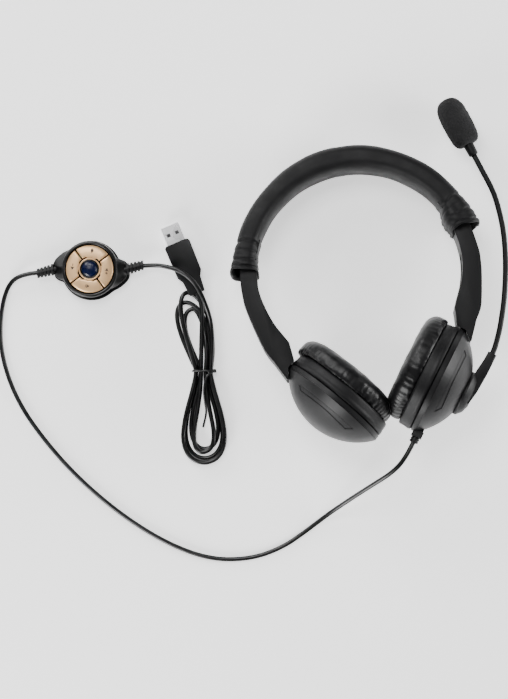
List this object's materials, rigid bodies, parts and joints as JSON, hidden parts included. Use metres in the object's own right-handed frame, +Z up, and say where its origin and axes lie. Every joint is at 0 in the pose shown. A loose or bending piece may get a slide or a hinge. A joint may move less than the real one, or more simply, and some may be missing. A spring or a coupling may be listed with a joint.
{
  "type": "office headset",
  "caption": "Over-ear office headset with a padded headband, tilting ear cups, a boom microphone, and a lead with an in-line key remote and a USB plug.",
  "frame": {"origin": "on the table under the middle of the headset, without its lead", "axes": "+Y from the ear cups towards the crown of the headband, +X towards the microphone's side, +Z up from the table that the headset lies on"},
  "size_m": [0.3361, 0.2635, 0.0715],
  "materials": {
    "sleeve_leatherette": "soft leatherette",
    "pad_leatherette": "soft wrinkled leatherette",
    "pad_foam": "open-cell foam",
    "screen_cloth": "acoustic cloth",
    "shell_plastic": "satin charcoal",
    "inlay_plastic": "satin",
    "arm_plastic": "fine matte",
    "inner_plastic": "matte",
    "nylon": "natural nylon",
    "spring_steel": "spring steel",
    "screw_steel": "zinc plated",
    "magnet_metal": "sintered",
    "diaphragm_film": "clear film",
    "cable_rubber": "satin jacket",
    "boot_rubber": "moulded",
    "neck_rubber": "matte sleeve",
    "wind_foam": "foam",
    "remote_plastic": "gloss black",
    "key_gold": "satin champagne gold",
    "lens_blue": "deep blue clear",
    "board_green": "solder mask",
    "switch_metal": "plated",
    "plug_steel": "nickel plated",
    "tongue_plastic": "moulded",
    "contact_gold": "gold plated",
    "tie_wire": "coated wire"
  },
  "bodies": {
    "right_cup": {"cup_shell_right": "shell_plastic", "trim_inlay_right": "inlay_plastic", "baffle_right": "inner_plastic", "cup_screws_right": "screw_steel", "hinge_pin_right": "spring_steel", "ear_pad_right": "pad_leatherette", "pad_screen_right": "screen_cloth", "driver_frame_right": "inner_plastic", "driver_magnet_right": "magnet_metal", "driver_diaphragm_right": "diaphragm_film", "cable_relief": "boot_rubber", "remote_bottom": "remote_plastic", "remote_top": "remote_plastic", "remote_screws": "screw_steel", "remote_board": "board_green", "key_switches": "switch_metal", "key_hub": "key_gold", "status_lens": "lens_blue", "remote_boot_out": "boot_rubber", "remote_boot_in": "boot_rubber", "usb_shell": "plug_steel", "usb_tongue": "tongue_plastic", "usb_contacts": "contact_gold", "usb_grip": "boot_rubber", "lead_to_remote": "cable_rubber", "lead_to_hank": "cable_rubber", "lead_to_plug": "cable_rubber", "cord_hank": "cable_rubber", "hank_tie": "tie_wire"},
    "mic_boom": {"boom_hub": "inner_plastic", "boom_clip": "spring_steel", "gooseneck": "neck_rubber", "mic_collar": "inner_plastic", "mic_capsule": "magnet_metal", "windscreen": "wind_foam"},
    "knuckle_right": {"hinge_knuckle_right": "inner_plastic"},
    "arm_right": {"arm_right": "arm_plastic", "arm_cover_right": "arm_plastic", "friction_shoe_right": "nylon"},
    "headband": {"headband_sleeve": "sleeve_leatherette", "headband_foam": "pad_foam", "headband_spring": "spring_steel"},
    "arm_left": {"arm_left": "arm_plastic", "arm_cover_left": "arm_plastic", "friction_shoe_left": "nylon"},
    "knuckle_left": {"hinge_knuckle_left": "inner_plastic"},
    "left_cup": {"cup_shell_left": "shell_plastic", "trim_inlay_left": "inlay_plastic", "baffle_left": "inner_plastic", "cup_screws_left": "screw_steel", "hinge_pin_left": "spring_steel", "ear_pad_left": "pad_leatherette", "pad_screen_left": "screen_cloth", "driver_frame_left": "inner_plastic", "driver_magnet_left": "magnet_metal", "driver_diaphragm_left": "diaphragm_film"},
    "microphone_key": {"microphone_key": "key_gold"},
    "volume_up_key": {"volume_up_key": "key_gold"},
    "speaker_key": {"speaker_key": "key_gold"},
    "volume_down_key": {"volume_down_key": "key_gold"}
  },
  "joints": [
    {"name": "right_tilt", "type": "hinge", "parent": "right_cup", "child": "knuckle_right", "pos_m": [0.04546, -0.04676, 0.03287], "axis": [0, -0.1328, -0.9911], "range_deg": [0, 6]},
    {"name": "right_swivel", "type": "hinge", "parent": "knuckle_right", "child": "arm_right", "pos_m": [0.04546, -0.04676, 0.03287], "axis": [0.4067, 0.9055, -0.1213], "range_deg": [-7, 7]},
    {"name": "right_slider", "type": "hinge", "parent": "arm_right", "child": "headband", "pos_m": [-0.00843, 0.0082, 0.0255], "axis": [0, -0.1328, -0.9911], "range_deg": [0, 15.5]},
    {"name": "left_slider", "type": "hinge", "parent": "headband", "child": "arm_left", "pos_m": [-0.00843, 0.0082, 0.0255], "axis": [0, -0.1328, -0.9911], "range_deg": [0, 15.5]},
    {"name": "left_swivel", "type": "hinge", "parent": "arm_left", "child": "knuckle_left", "pos_m": [-0.0623, -0.04676, 0.03287], "axis": [-0.4067, 0.9055, -0.1213], "range_deg": [-7, 7]},
    {"name": "left_tilt", "type": "hinge", "parent": "knuckle_left", "child": "left_cup", "pos_m": [-0.0623, -0.04676, 0.03287], "axis": [0, -0.1328, -0.9911], "range_deg": [0, 6]},
    {"name": "mic_boom_turn", "type": "hinge", "parent": "right_cup", "child": "mic_boom", "pos_m": [0.02388, -0.06713, 0.0356], "axis": [-0.7848, 0.6143, -0.0823], "range_deg": [-120, 120]},
    {"name": "microphone_key_press", "type": "slide", "parent": "right_cup", "child": "microphone_key", "axis": [0, 0, -1], "range_m": [0, 0.0006], "stiffness_N_per_m": 400},
    {"name": "volume_up_key_press", "type": "slide", "parent": "right_cup", "child": "volume_up_key", "axis": [0, 0, -1], "range_m": [0, 0.0006], "stiffness_N_per_m": 400},
    {"name": "speaker_key_press", "type": "slide", "parent": "right_cup", "child": "speaker_key", "axis": [0, 0, -1], "range_m": [0, 0.0006], "stiffness_N_per_m": 400},
    {"name": "volume_down_key_press", "type": "slide", "parent": "right_cup", "child": "volume_down_key", "axis": [0, 0, -1], "range_m": [0, 0.0006], "stiffness_N_per_m": 400}
  ]
}
